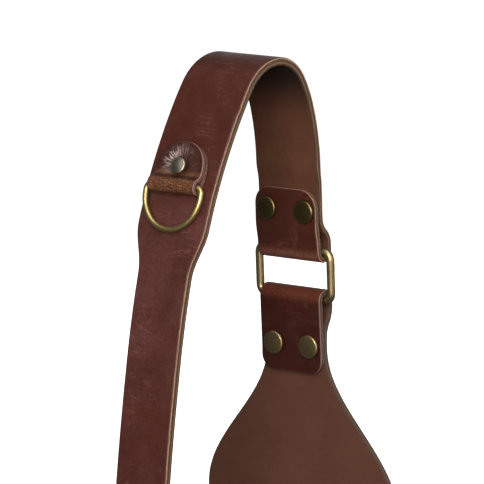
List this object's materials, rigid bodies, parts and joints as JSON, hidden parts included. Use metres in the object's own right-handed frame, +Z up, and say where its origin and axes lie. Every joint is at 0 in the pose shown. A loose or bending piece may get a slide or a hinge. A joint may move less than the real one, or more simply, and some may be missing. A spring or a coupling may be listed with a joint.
{
  "type": "leather apron strap",
  "caption": "Looped leather shoulder strap of an apron harness, with a D-ring tab, a wire link ring and a flared back panel.",
  "frame": {"origin": "underside (flesh side) of the crown at its highest point, where a shoulder or a peg carries the strap", "axes": "+X across the strap, +Y towards the wearer's back (the side with the link ring and panel), +Z up"},
  "size_m": [0.117, 0.131, 0.2859],
  "materials": {
    "strap_leather": "waxed grain side, matte flesh side, raw edges",
    "tab_leather": "waxed, creased",
    "panel_leather": "matte flesh side outwards in front, waxed grain behind",
    "ring_brass": "antique brass, rubbed bright",
    "link_brass": "antique brass, dull",
    "rivet_brass": "dark antique brass",
    "tab_rivet_brass": "pale antique brass"
  },
  "bodies": {
    "strap": {"shoulder_strap": "strap_leather", "d_ring_tab": "tab_leather", "tab_rivet_cap": "tab_rivet_brass", "tab_rivet_post": "tab_rivet_brass", "strap_rivet_left_cap": "rivet_brass", "strap_rivet_left_post": "rivet_brass", "strap_rivet_right_cap": "rivet_brass", "strap_rivet_right_post": "rivet_brass"},
    "d_ring": {"d_ring": "ring_brass"},
    "link": {"link_ring": "link_brass"},
    "panel": {"back_panel": "panel_leather", "panel_rivet_left_cap": "rivet_brass", "panel_rivet_left_post": "rivet_brass", "panel_rivet_right_cap": "rivet_brass", "panel_rivet_right_post": "rivet_brass"}
  },
  "joints": [
    {"name": "d_ring_swing", "type": "hinge", "parent": "strap", "child": "d_ring", "pos_m": [0, -0.05276, -0.05298], "axis": [-1, 0, 0], "range_deg": [0, 165]},
    {"name": "link_swing", "type": "hinge", "parent": "strap", "child": "link", "pos_m": [0, 0.03585, -0.09329], "axis": [1, 0, 0], "range_deg": [-20, 90]},
    {"name": "panel_swing", "type": "hinge", "parent": "link", "child": "panel", "pos_m": [0, 0.03709, -0.11706], "axis": [1, 0, 0], "range_deg": [-15, 85]}
  ]
}
